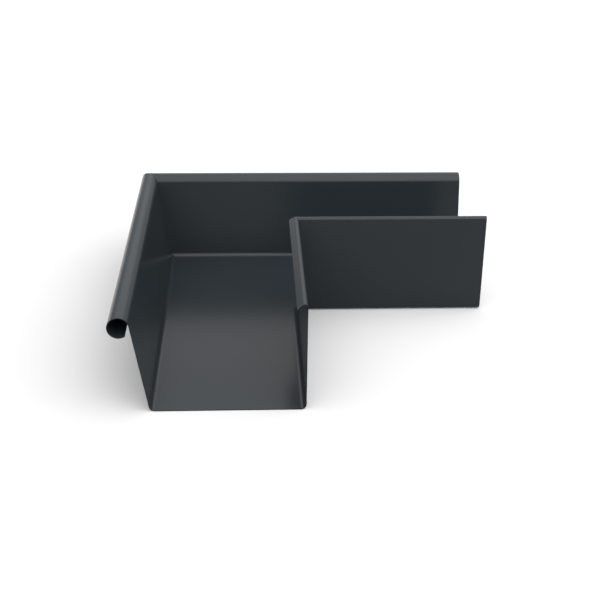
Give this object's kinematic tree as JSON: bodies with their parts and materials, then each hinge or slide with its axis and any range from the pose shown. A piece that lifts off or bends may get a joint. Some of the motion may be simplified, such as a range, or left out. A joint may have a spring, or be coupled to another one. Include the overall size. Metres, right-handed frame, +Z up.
{
  "type": "gutter external angle",
  "caption": "One-piece folded sheet angle that carries a box gutter round the outside corner of a building, with a rolled front bead and an inward back lip.",
  "frame": {"origin": "corner of the building at the level of the gutter's underside, where the backs of the two legs would meet sharp", "axes": "+Z up, +X along the right leg away from the corner, -Y along the near leg away from the corner; the building fills x > 0, y < 0"},
  "size_m": [0.3153, 0.3153, 0.0905],
  "materials": {
    "coated_sheet": "satin anthracite coat on both faces"
  },
  "bodies": {
    "root": {"gutter_angle": "coated_sheet"}
  },
  "joints": []
}
